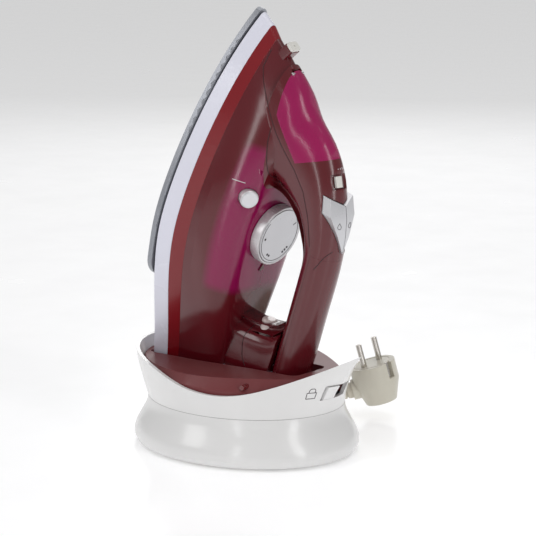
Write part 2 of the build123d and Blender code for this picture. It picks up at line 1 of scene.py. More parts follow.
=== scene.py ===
# looks of the clothes iron on its charging base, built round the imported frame
import bpy
import bmesh
import json
import math
from mathutils import Vector, Matrix
from mathutils.bvhtree import BVHTree


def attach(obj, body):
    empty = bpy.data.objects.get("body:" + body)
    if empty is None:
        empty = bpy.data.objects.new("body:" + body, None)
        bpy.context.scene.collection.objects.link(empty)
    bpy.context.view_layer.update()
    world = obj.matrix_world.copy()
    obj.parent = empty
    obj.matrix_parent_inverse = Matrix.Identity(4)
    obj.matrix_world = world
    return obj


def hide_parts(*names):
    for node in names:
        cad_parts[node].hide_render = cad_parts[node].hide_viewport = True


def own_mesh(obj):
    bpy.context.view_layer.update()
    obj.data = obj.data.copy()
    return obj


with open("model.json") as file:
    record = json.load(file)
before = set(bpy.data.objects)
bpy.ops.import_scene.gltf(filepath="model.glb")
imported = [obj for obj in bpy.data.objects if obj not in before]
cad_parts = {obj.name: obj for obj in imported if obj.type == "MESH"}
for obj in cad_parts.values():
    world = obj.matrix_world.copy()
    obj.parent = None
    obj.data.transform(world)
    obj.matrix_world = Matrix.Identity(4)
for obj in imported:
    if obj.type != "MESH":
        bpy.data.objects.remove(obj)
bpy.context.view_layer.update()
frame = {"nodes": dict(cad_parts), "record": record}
nodes = frame["nodes"]
bodyOf = {n: b for b, names in frame["record"]["behaviour"]["bodies"].items() for n in names}
print("frame loaded,", len(nodes), "nodes")

# the iron's own directions while it stands in its base: x runs from toe to heel,
# z is the height above the sole, all in millimetres
ironPose = {"lean": 18.5, "toe": (4.677, 0.0, 348.394)}
baseMiddle = (-10.223, 0.0)
leanSin, leanCos = math.sin(math.radians(ironPose["lean"])), math.cos(math.radians(ironPose["lean"]))
heelward = Vector((-leanSin, 0, -leanCos))
outward = Vector((leanCos, 0, -leanSin))
sideways = Vector((0, 1, 0))


def onIron(x, y, z):
    return (Vector(ironPose["toe"]) + heelward * x + sideways * y + outward * z) / 1000


def addObject(name, data):
    made = bpy.data.objects.new(name, data)
    bpy.context.scene.collection.objects.link(made)
    return made


def meshPiece(name, build, finish):
    # the built shape becomes an object of its own
    mesh = bpy.data.meshes.new(name)
    build.to_mesh(mesh)
    build.free()
    mesh.materials.append(finish)
    return addObject(name, mesh)


surfaceTrees = {}


def castOn(names, start, direction):
    # first point where a ray meets these frame nodes
    best = None
    for name in names:
        tree = surfaceTrees.get(name)
        if tree is None:
            mesh = nodes[name].data
            tree = BVHTree.FromPolygons([nodes[name].matrix_world @ v.co for v in mesh.vertices],
                                        [p.vertices[:] for p in mesh.polygons])
            surfaceTrees[name] = tree
        spot, _, _, reach = tree.ray_cast(start, direction)
        if spot is not None and (best is None or reach < best[1]):
            best = (spot, reach)
    return best[0] if best else None


def fromAbove(names, x, y):
    return castOn(names, onIron(x, y, 190), -outward)


def fromSide(names, x, z, side):
    return castOn(names, onIron(x, side * 120, z), -sideways * side)


def found(spots):
    return [spot for spot in spots if spot is not None]


# shader node groups
def newGroup(name, ins, outs):
    group = bpy.data.node_groups.new(name, "ShaderNodeTree")
    for label, kind, value in ins:
        socket = group.interface.new_socket(name=label, in_out="INPUT", socket_type=kind)
        if value is not None:
            socket.default_value = value
    for label, kind in outs:
        group.interface.new_socket(name=label, in_out="OUTPUT", socket_type=kind)
    return group, group.nodes.new("NodeGroupInput"), group.nodes.new("NodeGroupOutput")


def addNode(tree, kind, **values):
    node = tree.nodes.new(kind)
    for key, value in values.items():
        if key in node.bl_rna.properties:
            setattr(node, key, value)
        else:
            node.inputs[key].default_value = value
    return node


def buildGrain():
    # moulded grain: a fine bump, and a slow drift of colour and gloss
    group, inside, outside = newGroup("mouldedGrain", [
        ("Color", "NodeSocketColor", (0.5, 0.5, 0.5, 1)), ("Drift", "NodeSocketFloat", 0.08),
        ("Roughness", "NodeSocketFloat", 0.3), ("Fineness", "NodeSocketFloat", 900.0)],
        [("Color", "NodeSocketColor"), ("Roughness", "NodeSocketFloat"), ("Height", "NodeSocketFloat")])
    link = group.links.new
    place = addNode(group, "ShaderNodeTexCoord")
    slow = addNode(group, "ShaderNodeTexNoise", Scale=14.0, Detail=4.0, Roughness=0.55)
    fine = addNode(group, "ShaderNodeTexNoise", Detail=3.0, Roughness=0.6)
    link(place.outputs["Object"], slow.inputs["Vector"])
    link(place.outputs["Object"], fine.inputs["Vector"])
    link(inside.outputs["Fineness"], fine.inputs["Scale"])
    lift = addNode(group, "ShaderNodeMath", operation="SUBTRACT")
    lift.inputs[1].default_value = 0.5      # the noise swings about its middle
    link(slow.outputs["Fac"], lift.inputs[0])
    amount = addNode(group, "ShaderNodeMath", operation="MULTIPLY_ADD")
    link(lift.outputs[0], amount.inputs[0])
    link(inside.outputs["Drift"], amount.inputs[1])
    amount.inputs[2].default_value = 1.0
    tint = addNode(group, "ShaderNodeVectorMath", operation="SCALE")
    link(inside.outputs["Color"], tint.inputs[0])
    link(amount.outputs[0], tint.inputs["Scale"])
    link(tint.outputs[0], outside.inputs["Color"])
    smear = addNode(group, "ShaderNodeMath", operation="MULTIPLY_ADD")
    link(lift.outputs[0], smear.inputs[0])
    smear.inputs[1].default_value = 0.16
    link(inside.outputs["Roughness"], smear.inputs[2])
    link(smear.outputs[0], outside.inputs["Roughness"])
    link(fine.outputs["Fac"], outside.inputs["Height"])
    return group


def buildDust():
    # dust and handling marks: a mask on faces that look up, and in slow patches
    group, inside, outside = newGroup("lightDust", [
        ("Color", "NodeSocketColor", (0.5, 0.5, 0.5, 1)), ("Amount", "NodeSocketFloat", 0.2),
        ("Roughness", "NodeSocketFloat", 0.3)],
        [("Color", "NodeSocketColor"), ("Roughness", "NodeSocketFloat")])
    link = group.links.new
    place = addNode(group, "ShaderNodeTexCoord")
    shape = addNode(group, "ShaderNodeNewGeometry")
    split = addNode(group, "ShaderNodeSeparateXYZ")
    link(shape.outputs["Normal"], split.inputs[0])
    facing = addNode(group, "ShaderNodeMapRange")
    facing.inputs["From Min"].default_value = 0.35
    link(split.outputs["Z"], facing.inputs["Value"])
    patch = addNode(group, "ShaderNodeTexNoise", Scale=60.0, Detail=6.0, Roughness=0.7)
    link(place.outputs["Object"], patch.inputs["Vector"])
    mask = addNode(group, "ShaderNodeMath", operation="MULTIPLY")
    link(facing.outputs[0], mask.inputs[0])
    link(patch.outputs["Fac"], mask.inputs[1])
    dose = addNode(group, "ShaderNodeMath", operation="MULTIPLY")
    link(mask.outputs[0], dose.inputs[0])
    link(inside.outputs["Amount"], dose.inputs[1])
    mix = addNode(group, "ShaderNodeMix", data_type="RGBA")
    link(dose.outputs[0], mix.inputs[0])
    link(inside.outputs["Color"], mix.inputs[6])
    mix.inputs[7].default_value = (0.62, 0.6, 0.58, 1)
    link(mix.outputs[2], outside.inputs["Color"])
    rough = addNode(group, "ShaderNodeMath", operation="MULTIPLY_ADD")
    link(dose.outputs[0], rough.inputs[0])
    rough.inputs[1].default_value = 0.8
    link(inside.outputs["Roughness"], rough.inputs[2])
    link(rough.outputs[0], outside.inputs["Roughness"])
    return group


def buildBrush():
    # brushed metal: long scratches along one direction, as height, and their gloss
    group, inside, outside = newGroup("brushedLines", [
        ("Stretch", "NodeSocketVector", (1, 1, 40)), ("Roughness", "NodeSocketFloat", 0.35),
        ("Depth", "NodeSocketFloat", 0.12)],
        [("Roughness", "NodeSocketFloat"), ("Height", "NodeSocketFloat")])
    link = group.links.new
    place = addNode(group, "ShaderNodeTexCoord")
    warp = addNode(group, "ShaderNodeVectorMath", operation="MULTIPLY")
    link(place.outputs["Object"], warp.inputs[0])
    link(inside.outputs["Stretch"], warp.inputs[1])
    lines = addNode(group, "ShaderNodeTexNoise", Scale=60.0, Detail=5.0, Roughness=0.7)
    link(warp.outputs[0], lines.inputs["Vector"])
    gloss = addNode(group, "ShaderNodeMath", operation="MULTIPLY_ADD")
    link(lines.outputs["Fac"], gloss.inputs[0])
    link(inside.outputs["Depth"], gloss.inputs[1])
    link(inside.outputs["Roughness"], gloss.inputs[2])
    link(gloss.outputs[0], outside.inputs["Roughness"])
    link(lines.outputs["Fac"], outside.inputs["Height"])
    return group


def buildWindow():
    # 1 inside the see-through part of the tank, 0 outside: bounds in the iron's own millimetres
    group, inside, outside = newGroup("tankWindow", [
        ("Front", "NodeSocketFloat", 90.0), ("Back", "NodeSocketFloat", 215.0),
        ("Bottom", "NodeSocketFloat", 44.0), ("Blur", "NodeSocketFloat", 7.0)],
        [("Mask", "NodeSocketFloat")])
    link = group.links.new
    place = addNode(group, "ShaderNodeTexCoord")
    move = addNode(group, "ShaderNodeVectorMath", operation="SUBTRACT")
    move.inputs[1].default_value = Vector(ironPose["toe"]) / 1000
    link(place.outputs["Object"], move.inputs[0])
    masks = []
    for axis, edge, flip in ((heelward, "Front", 1), (heelward, "Back", -1), (outward, "Bottom", 1)):
        reach = addNode(group, "ShaderNodeVectorMath", operation="DOT_PRODUCT")
        reach.inputs[1].default_value = axis * 1000 * flip
        link(move.outputs[0], reach.inputs[0])
        past = addNode(group, "ShaderNodeMath", operation="MULTIPLY")
        link(inside.outputs[edge], past.inputs[0])
        past.inputs[1].default_value = -flip
        total = addNode(group, "ShaderNodeMath", operation="ADD")
        link(reach.outputs["Value"], total.inputs[0])
        link(past.outputs[0], total.inputs[1])
        soft = addNode(group, "ShaderNodeMath", operation="DIVIDE")
        link(total.outputs[0], soft.inputs[0])
        link(inside.outputs["Blur"], soft.inputs[1])
        soft.use_clamp = True
        masks.append(soft.outputs[0])
    first = addNode(group, "ShaderNodeMath", operation="MULTIPLY")
    link(masks[0], first.inputs[0])
    link(masks[1], first.inputs[1])
    both = addNode(group, "ShaderNodeMath", operation="MULTIPLY")
    link(first.outputs[0], both.inputs[0])
    link(masks[2], both.inputs[1])
    link(both.outputs[0], outside.inputs["Mask"])
    return group


grainGroup, dustGroup, brushGroup, windowGroup = buildGrain(), buildDust(), buildBrush(), buildWindow()


reliefDepth = 0.00003


def newFinish(name):
    material = bpy.data.materials.new(name)
    material.use_nodes = True
    tree = material.node_tree
    return material, tree, tree.nodes["Principled BSDF"]


def joinSurface(tree, shader, film, height, strength):
    # the dust film gives colour and gloss, the height gives the bump
    link = tree.links.new
    link(film.outputs["Color"], shader.inputs["Base Color"])
    link(film.outputs["Roughness"], shader.inputs["Roughness"])
    relief = addNode(tree, "ShaderNodeBump", Strength=strength, Distance=reliefDepth)
    link(height, relief.inputs["Height"])
    link(relief.outputs["Normal"], shader.inputs["Normal"])


def plasticFinish(name, color, rough=0.3, drift=0.08, fineness=900.0, bump=0.05, coat=0.0, dust=0.1,
                  alpha=1.0):
    material, tree, shader = newFinish(name)
    grain = addNode(tree, "ShaderNodeGroup", node_tree=grainGroup, Color=(*color, 1), Drift=drift,
                    Roughness=rough, Fineness=fineness)
    film = addNode(tree, "ShaderNodeGroup", node_tree=dustGroup, Amount=dust)
    tree.links.new(grain.outputs["Color"], film.inputs["Color"])
    tree.links.new(grain.outputs["Roughness"], film.inputs["Roughness"])
    joinSurface(tree, shader, film, grain.outputs["Height"], bump)
    shader.inputs["Coat Weight"].default_value = coat
    shader.inputs["Coat Roughness"].default_value = 0.12
    shader.inputs["Alpha"].default_value = alpha
    shader.inputs["IOR"].default_value = 1.49
    return material


def metalFinish(name, color, rough=0.3, stretch=(1, 1, 40), depth=0.12, bump=0.06, metallic=1.0):
    material, tree, shader = newFinish(name)
    brush = addNode(tree, "ShaderNodeGroup", node_tree=brushGroup, Stretch=stretch, Roughness=rough,
                    Depth=depth)
    film = addNode(tree, "ShaderNodeGroup", node_tree=dustGroup, Color=(*color, 1), Amount=0.06)
    tree.links.new(brush.outputs["Roughness"], film.inputs["Roughness"])
    joinSurface(tree, shader, film, brush.outputs["Height"], bump)
    shader.inputs["Metallic"].default_value = metallic
    return material


shellRed, bandRed, clearMagenta = (0.1, 0.0045, 0.009), (0.2, 0.005, 0.01), (0.26, 0.002, 0.07)
finishes = {
    "sole": metalFinish("soleCoat", (0.3, 0.31, 0.34), 0.36, (6, 6, 1), 0.08, 0.015, 0.7),
    "element": metalFinish("heaterSheath", (0.3, 0.29, 0.28), 0.45, (8, 8, 8)),
    "steel": metalFinish("satinSteel", (0.6, 0.6, 0.61), 0.3, (1, 20, 1)),
    "brass": metalFinish("bareBrass", (0.76, 0.56, 0.25), 0.28, (6, 6, 20)),
    "pins": metalFinish("nickelPlate", (0.6, 0.57, 0.53), 0.16, (20, 20, 1), 0.08),
    "springs": metalFinish("springWire", (0.55, 0.55, 0.56), 0.25, (12, 12, 12)),
    "pale_skirt": plasticFinish("paleLavender", (0.7, 0.7, 0.79), 0.26, 0.04, coat=0.25, dust=0.05),
    "red_band": plasticFinish("deepRedBand", bandRed, 0.2, 0.1, coat=0.25, dust=0.0),
    "dark_shell": plasticFinish("maroonShell", shellRed, 0.22, 0.16, coat=0.4, dust=0.0),
    "tank": plasticFinish("magentaTank", clearMagenta, 0.16, 0.14, 500, 0.02, 0.3, 0.0, alpha=0.86),
    "silver": metalFinish("silverPaint", (0.62, 0.62, 0.64), 0.24, (6, 6, 6), 0.1, 0.05, 0.75),
    "dial_grip": metalFinish("dialSilver", (0.66, 0.65, 0.66), 0.3, (6, 6, 6), 0.1, 0.1, 0.55),
    "lens": plasticFinish("clearLens", (0.72, 0.6, 0.58), 0.12, 0.05, coat=0.5, dust=0.0),
    "indicator": plasticFinish("indicatorRed", (0.12, 0.004, 0.006), 0.2, 0.05, coat=0.5, dust=0.0),
    "dark_inner": plasticFinish("blackResin", (0.014, 0.013, 0.014), 0.42, 0.2, bump=0.12),
    "inner": plasticFinish("naturalResin", (0.68, 0.67, 0.63), 0.34, 0.05, coat=0.1, dust=0.02),
    "heel": plasticFinish("heelLavender", (0.66, 0.66, 0.74), 0.3, 0.04, coat=0.2, dust=0.05),
    "base_white": plasticFinish("baseWhite", (0.76, 0.755, 0.75), 0.24, 0.035, coat=0.35, dust=0.03),
    "tray": plasticFinish("dustyMaroon", (0.15, 0.02, 0.023), 0.42, 0.12, 1400, 0.2, dust=0.06),
    "feet": plasticFinish("softRubber", (0.025, 0.025, 0.026), 0.7, 0.15, 700, 0.3),
    "board": plasticFinish("printedBoard", (0.02, 0.14, 0.05), 0.35, 0.2, 300, 0.1),
    "relay": plasticFinish("relayCase", (0.02, 0.03, 0.08), 0.35),
    "cord": plasticFinish("creamFlex", (0.58, 0.54, 0.45), 0.42, 0.08, 1500, 0.2, dust=0.03),
    "plug": plasticFinish("creamPlug", (0.6, 0.57, 0.48), 0.3, 0.05, 1100, 0.08, 0.15, dust=0.03),
}


def paintTankWindow(material):
    # maroon and solid outside the window, clear magenta inside it
    tree = material.node_tree
    shader = tree.nodes["Principled BSDF"]
    grain = [n for n in tree.nodes if n.type == "GROUP" and n.node_tree == grainGroup][0]
    window = addNode(tree, "ShaderNodeGroup", node_tree=windowGroup)
    blend = addNode(tree, "ShaderNodeMix", data_type="RGBA")
    blend.inputs[6].default_value = (*shellRed, 1)
    blend.inputs[7].default_value = (*clearMagenta, 1)
    tree.links.new(window.outputs["Mask"], blend.inputs[0])
    tree.links.new(blend.outputs[2], grain.inputs["Color"])
    clear = addNode(tree, "ShaderNodeMapRange")
    clear.inputs["To Min"].default_value = 1.0
    clear.inputs["To Max"].default_value = 0.84
    tree.links.new(window.outputs["Mask"], clear.inputs["Value"])
    tree.links.new(clear.outputs[0], shader.inputs["Alpha"])


paintTankWindow(finishes["tank"])
doorClear = plasticFinish("magentaDoor", (0.34, 0.003, 0.09), 0.24, 0.2, 500, 0.02, 0.3, 0.0, alpha=0.84)
inkDark = plasticFinish("darkInk", (0.03, 0.022, 0.028), 0.5, dust=0)
inkPale = plasticFinish("paleInk", (0.66, 0.64, 0.66), 0.4, dust=0)
grooveDark = plasticFinish("grooveShade", (0.03, 0.002, 0.004), 0.5, dust=0)
grooveGrey = plasticFinish("grooveGrey", (0.3, 0.29, 0.29), 0.6, dust=0)
slotOf = {s["node"]: s["material_slot"] for s in frame["record"]["subparts"]}
print("finishes made:", len(bpy.data.materials))

# frame nodes: a merged, smoothed and edge-rounded copy stands for each one that shows
# width of the rounded edges in millimetres; the nodes named after it keep their own edges
edgeRound = {"default": 0.25, "skirt": 0.35, "tray": 0.6, "base_upper": 0.5,
             "base_lower": 0.5, "temperature_dial": 0.5, "dial_face": 0.35, "spray_button": 0.45,
             "boost_button": 0.45, "clean_button": 0.5, "plug_body": 0.8, "lock_slider": 0.6,
             "grip_under": 0.3, "grip_top": 0.3, "nose_cover": 0.3, "water_tank": 0.3,
             "steam_slider": 0.4, "fill_door": 0.35, "lamp_lens": 0.3, "heel_cover": 0.5}
plainNodes = ("soleplate", "heating_element", "clean_spring", "spray_spring", "boost_spring",
              "steam_valve_rod", "plug_sleeve", "foot_1", "foot_2", "foot_3", "foot_4")
copySettings = {"merge": 0.000004, "smallest": 0.000002, "flat": math.radians(0.4),
                "sharp": math.radians(28), "bevelFrom": math.radians(35)}


def finePiece(node):
    source = nodes[node]
    build = bmesh.new()
    build.from_mesh(source.data)
    build.transform(source.matrix_world)
    bmesh.ops.remove_doubles(build, verts=build.verts, dist=copySettings["merge"])
    bmesh.ops.dissolve_degenerate(build, edges=build.edges, dist=copySettings["smallest"])
    bmesh.ops.dissolve_limit(build, angle_limit=copySettings["flat"], verts=build.verts, edges=build.edges,
                             delimit={"NORMAL"})
    piece = meshPiece(node + "Shell", build, doorClear if node == "fill_door" else finishes[slotOf[node]])
    for face in piece.data.polygons:
        face.use_smooth = True
        face.material_index = 0
    piece.data.set_sharp_from_angle(angle=copySettings["sharp"])
    if node not in plainNodes:
        rounding = piece.modifiers.new("edges", "BEVEL")
        rounding.width = edgeRound.get(node, edgeRound["default"]) / 1000
        rounding.segments = 2
        rounding.limit_method = "ANGLE"
        rounding.angle_limit = copySettings["bevelFrom"]
        rounding.use_clamp_overlap = True
        rounding.harden_normals = True
    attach(piece, bodyOf[node])
    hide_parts(node)
    return piece


shells = {node: finePiece(node) for node in sorted(nodes) if node not in ("cord_coil", "cord_tail")}
print("frame copies made:", len(shells))

# the axes the springs lie along, towards their wells under the buttons; each spring is given a mesh of its
# own
cleanTilt = math.radians(30)
cleanAxis = outward * math.cos(cleanTilt) - sideways * math.sin(cleanTilt)
springAxes = {"clean": cleanAxis, "spray": outward, "boost": outward}
for name, axis in springAxes.items():
    spring = shells[name + "_spring"]
    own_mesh(spring)


# geometry node trees
def newTree(name, ins):
    tree = bpy.data.node_groups.new(name, "GeometryNodeTree")
    tree.interface.new_socket(name="Geometry", in_out="INPUT", socket_type="NodeSocketGeometry")
    for label, kind, value in ins:
        socket = tree.interface.new_socket(name=label, in_out="INPUT", socket_type=kind)
        if value is not None:
            socket.default_value = value
    tree.interface.new_socket(name="Geometry", in_out="OUTPUT", socket_type="NodeSocketGeometry")
    return tree, tree.nodes.new("NodeGroupInput"), tree.nodes.new("NodeGroupOutput")


def endTree(tree, inside, outside, shape):
    real = tree.nodes.new("GeometryNodeRealizeInstances")
    paint = tree.nodes.new("GeometryNodeSetMaterial")
    tree.links.new(shape, real.inputs[0])
    tree.links.new(real.outputs[0], paint.inputs["Geometry"])
    tree.links.new(inside.outputs["Finish"], paint.inputs["Material"])
    tree.links.new(paint.outputs[0], outside.inputs[0])


def buildRibRing():
    # blocks set round a circle, then turned and moved to their place
    tree, inside, outside = newTree("ribRing", [
        ("Count", "NodeSocketInt", 24), ("Radius", "NodeSocketFloat", 0.02),
        ("Rib", "NodeSocketVector", (0.001, 0.001, 0.005)), ("Turn", "NodeSocketVector", (0, 0, 0)),
        ("Place", "NodeSocketVector", (0, 0, 0)), ("Finish", "NodeSocketMaterial", None)])
    link = tree.links.new
    ring = addNode(tree, "GeometryNodeMeshCircle")
    link(inside.outputs["Count"], ring.inputs["Vertices"])
    link(inside.outputs["Radius"], ring.inputs["Radius"])
    block = addNode(tree, "GeometryNodeMeshCube")
    link(inside.outputs["Rib"], block.inputs["Size"])
    spot = addNode(tree, "GeometryNodeInputPosition")
    face = addNode(tree, "FunctionNodeAlignEulerToVector", axis="X")
    link(spot.outputs[0], face.inputs["Vector"])
    copies = addNode(tree, "GeometryNodeInstanceOnPoints")
    link(ring.outputs[0], copies.inputs["Points"])
    link(block.outputs[0], copies.inputs["Instance"])
    link(face.outputs[0], copies.inputs["Rotation"])
    move = addNode(tree, "GeometryNodeTransform")
    link(copies.outputs[0], move.inputs["Geometry"])
    link(inside.outputs["Place"], move.inputs["Translation"])
    link(inside.outputs["Turn"], move.inputs["Rotation"])
    endTree(tree, inside, outside, move.outputs[0])
    return tree


def buildBead():
    # a round bead that follows a drawn line
    tree, inside, outside = newTree("beadAlongLine", [
        ("Radius", "NodeSocketFloat", 0.0004), ("Sides", "NodeSocketInt", 8),
        ("Finish", "NodeSocketMaterial", None)])
    link = tree.links.new
    profile = addNode(tree, "GeometryNodeCurvePrimitiveCircle")
    link(inside.outputs["Sides"], profile.inputs["Resolution"])
    link(inside.outputs["Radius"], profile.inputs["Radius"])
    sweep = addNode(tree, "GeometryNodeCurveToMesh")
    sweep.inputs["Fill Caps"].default_value = True
    link(inside.outputs["Geometry"], sweep.inputs["Curve"])
    link(profile.outputs[0], sweep.inputs["Profile Curve"])
    smooth = addNode(tree, "GeometryNodeSetShadeSmooth")
    link(sweep.outputs[0], smooth.inputs[0])
    endTree(tree, inside, outside, smooth.outputs[0])
    return tree


ribTree, beadTree = buildRibRing(), buildBead()


def grownPiece(name, body, data, tree, values):
    # a node tree runs on a holder, its result becomes a mesh of its own, and the holder goes
    holder = addObject(name + "Holder", data)
    step = holder.modifiers.new("nodes", "NODES")
    step.node_group = tree
    keys = {i.name: i.identifier for i in tree.interface.items_tree if i.in_out == "INPUT"}
    for label, value in values.items():
        step[keys[label]] = value
    graph = bpy.context.evaluated_depsgraph_get()
    mesh = bpy.data.meshes.new_from_object(holder.evaluated_get(graph))
    mesh.name = name
    bpy.data.objects.remove(holder)
    piece = addObject(name, mesh)
    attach(piece, body)
    return piece


def ribs(name, body, values):
    return grownPiece(name, body, bpy.data.meshes.new(name + "Holder"), ribTree, values)


def beads(name, body, lines, radius, finish, closed=False, sides=8):
    curve = bpy.data.curves.new(name + "Line", "CURVE")
    curve.dimensions = "3D"
    for points in lines:
        spline = curve.splines.new("POLY")
        spline.points.add(len(points) - 1)
        for knot, point in zip(spline.points, points):
            knot.co = (*point, 1)
        spline.use_cyclic_u = closed
    return grownPiece(name, body, curve, beadTree, {"Radius": radius, "Sides": sides, "Finish": finish})


# cord: starts on the drum under the base, leaves through the clip, ends in the plug
cordParts = {"diameter": 0.007, "inner": 34.8, "outer": 49.0,
             "levels": (24.2, 17.2, 10.2), "perTurn": 16, "lastAngle": 165.0,
             "sleeve": (47, 18), "bend": 26, "clip": (22, 4), "slack": 0.4, "intoSleeve": (6, -3),
             "smoothed": 0.985,
             "exitAt": (-46.723, 48.5, 9.0), "plugFace": (16.777, 127.0, 45.0),
             "plugExit": (-0.734, -0.628, -0.259), "plugUp": (-0.197, -0.168, 0.966)}


def cordRoute(p):
    high, mid, low = p["levels"]
    inner, outer = p["inner"], p["outer"]
    # turns, radius at start and end, height at start and end
    steps = ((2, inner, outer, high, high), (0.5, outer, outer, high, mid), (2, outer, inner, mid, mid),
             (0.5, inner, inner, mid, low), (2, inner, outer, low, low))
    angle = p["lastAngle"] + 360 * sum(step[0] for step in steps)
    points = []
    for turns, r0, r1, z0, z1 in steps:
        count = int(turns * p["perTurn"])
        for i in range(count):
            t = i / count
            a = math.radians(angle - 360 * turns * t)
            r = r0 + (r1 - r0) * t
            points.append(Vector((baseMiddle[0] + r * math.cos(a), baseMiddle[1] + r * math.sin(a),
                                  z0 + (z1 - z0) * t)))
        angle -= 360 * turns
    plugExit, plugUp = Vector(p["plugExit"]).normalized(), Vector(p["plugUp"]).normalized()
    sleeveEnd = Vector(p["plugFace"]) + plugExit * p["sleeve"][0] - plugUp * p["sleeve"][1]
    bend = sleeveEnd + plugExit * p["bend"]
    exitAt = Vector(p["exitAt"])
    inward = (exitAt - bend).normalized()
    points += [exitAt + inward * ahead for ahead in p["clip"]]
    points += [exitAt.lerp(bend, p["slack"]), bend, sleeveEnd + plugExit * p["intoSleeve"][0], sleeveEnd,
               sleeveEnd + plugExit * p["intoSleeve"][1]]
    return [v / 1000 for v in points]


routePoints = cordRoute(cordParts)
cordCurve = bpy.data.curves.new("supplyCord", "CURVE")
cordCurve.dimensions = "3D"
cordSpline = cordCurve.splines.new("NURBS")
cordSpline.points.add(len(routePoints) - 1)
for knot, point in zip(cordSpline.points, routePoints):
    knot.co = (*point, 1)
cordSpline.order_u = 3
cordSpline.use_endpoint_u = True
cordSpline.resolution_u = 6
cordCurve.bevel_depth = cordParts["diameter"] / 2
cordCurve.bevel_resolution = 4
cordCurve.use_fill_caps = True
cordCurve.materials.append(finishes["cord"])
supplyCord = addObject("supplyCord", cordCurve)
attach(supplyCord, "base")
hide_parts("cord_coil", "cord_tail")

# temperature dial: grip ribs, ring line and heat dots
dialParts = {"x": 163.0, "radius": 24.1, "ribMiddle": 70.8, "top": 74.9, "ribs": 60,
             "ribSize": (0.0007, 0.0011, 0.006), "ringAt": 20.4, "dotAt": 17.0, "dotR": 1.05, "dotStep": 9,
             "heatStops": ((-90, 1), (-30, 2), (40, 3)), "offAngle": 120, "offFrom": 15.6, "offTo": 19.0}
dialTurn = (0, math.radians(90 + ironPose["lean"]), 0)
ribs("dialRibs", "dial", {
    "Count": dialParts["ribs"], "Radius": dialParts["radius"] / 1000, "Rib": dialParts["ribSize"],
    "Turn": dialTurn, "Place": onIron(dialParts["x"], 0, dialParts["ribMiddle"]),
    "Finish": finishes["dial_grip"]})


def dialSpot(radius, turn):
    a = math.radians(turn)
    return onIron(dialParts["x"] + radius * math.cos(a), radius * math.sin(a), dialParts["top"])


def flatDots(name, body, spots, radius, normal, finish, sides=20, rise=0.00015):
    # thin printed dots, each a closed disc
    build = bmesh.new()
    spin = normal.to_track_quat("Z", "Y").to_matrix().to_4x4()
    for spot in spots:
        bmesh.ops.create_cone(build, cap_ends=True, segments=sides, radius1=radius, radius2=radius * 0.9,
                              depth=rise * 2, matrix=Matrix.Translation(spot) @ spin)
    piece = meshPiece(name, build, finish)
    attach(piece, body)
    return piece


ringLine = [dialSpot(dialParts["ringAt"], a) for a in range(-130, 131, 5)]
beads("dialRing", "dial", [ringLine], 0.00022, inkDark)
heatDots = []
for centre, number in dialParts["heatStops"]:
    heatDots += [dialSpot(dialParts["dotAt"], centre + dialParts["dotStep"] * (i - (number - 1) / 2))
                 for i in range(number)]
flatDots("heatDots", "dial", heatDots, dialParts["dotR"] / 1000, outward, inkDark)
offMark = [dialSpot(dialParts[end], dialParts["offAngle"]) for end in ("offFrom", "offTo")]
beads("dialOffMark", "dial", [offMark], 0.0003, inkDark)
print("dial marked")

# seams and marks on the iron
markRadius = {"seam": 0.0003, "thin": 0.00022}
shellSeams = {"noseLine": ((26, 27), (39, 29), (48, 35), (60, 45), (69, 53), (79, 62), (89, 73), (99, 85),
                           (112, 97), (130, 107), (150, 115)),
              "branchLine": ((76, 56), (86, 58), (100, 62), (113, 66), (121, 70))}
# where the boot of the grip meets the tank, and the joint under the thumb buttons
gripSeams = {"bootSeam": ((268, 86), (262, 81), (254, 78), (246, 77), (238, 78)),
             "thumbSeam": ((165, 124), (160, 126), (154, 128), (148, 131))}


def spread(points, gap=2.0):
    # points spaced evenly along a broken line
    made = []
    for (x0, z0), (x1, z1) in zip(points, points[1:]):
        count = max(1, int(math.hypot(x1 - x0, z1 - z0) / gap))
        made += [(x0 + (x1 - x0) * i / count, z0 + (z1 - z0) * i / count) for i in range(count)]
    return made + [points[-1]]


def longEnough(lines):
    return [line for line in lines if len(line) > 2]


for seams, names in ((shellSeams, ("nose_cover", "grip_under", "water_tank", "trim_band")),
                     (gripSeams, ("grip_under", "grip_top", "nose_cover"))):
    for label, path in seams.items():
        lines = [found(fromSide(names, x, z, side) for x, z in spread(path)) for side in (1, -1)]
        beads(label, "iron", longEnough(lines), markRadius["seam"], grooveDark)

levelParts = {"x": 121, "y": (35, 41)}      # the full mark lies across the shoulder
levelLines = [found(fromAbove(("water_tank",), levelParts["x"], side * y) for y in range(*levelParts["y"]))
              for side in (1, -1)]
beads("levelLines", "iron", longEnough(levelLines), markRadius["seam"], inkPale)

# steam scale by the slider: a row of growing dashes
scaleParts = {"x": 88.5, "ys": (-2, 0.5, 3, 5.5), "shortest": 0.3, "growth": 0.2}
dashes = []
for i, y in enumerate(scaleParts["ys"]):
    half = scaleParts["shortest"] + scaleParts["growth"] * i
    ends = (scaleParts["x"] - half, scaleParts["x"] + half)
    dashes.append(found(fromAbove(("nose_cover", "fill_door"), x, y) for x in ends))
beads("steamScale", "iron", [dash for dash in dashes if len(dash) == 2], markRadius["seam"], inkPale)


def dropShape(centre, size):
    # outline of a water drop in (x, y), pointing to the toe
    shape = [(centre[0] - size * 1.15, centre[1])]
    for i in range(-120, 121, 15):
        a = math.radians(i)
        shape.append((centre[0] + size * 0.62 * math.cos(a), centre[1] + size * 0.62 * math.sin(a)))
    return shape + [shape[0]]


def ringShape(centre, size):
    return [(centre[0] + size * math.cos(math.radians(a)), centre[1] + size * math.sin(math.radians(a)))
            for a in range(0, 361, 20)]


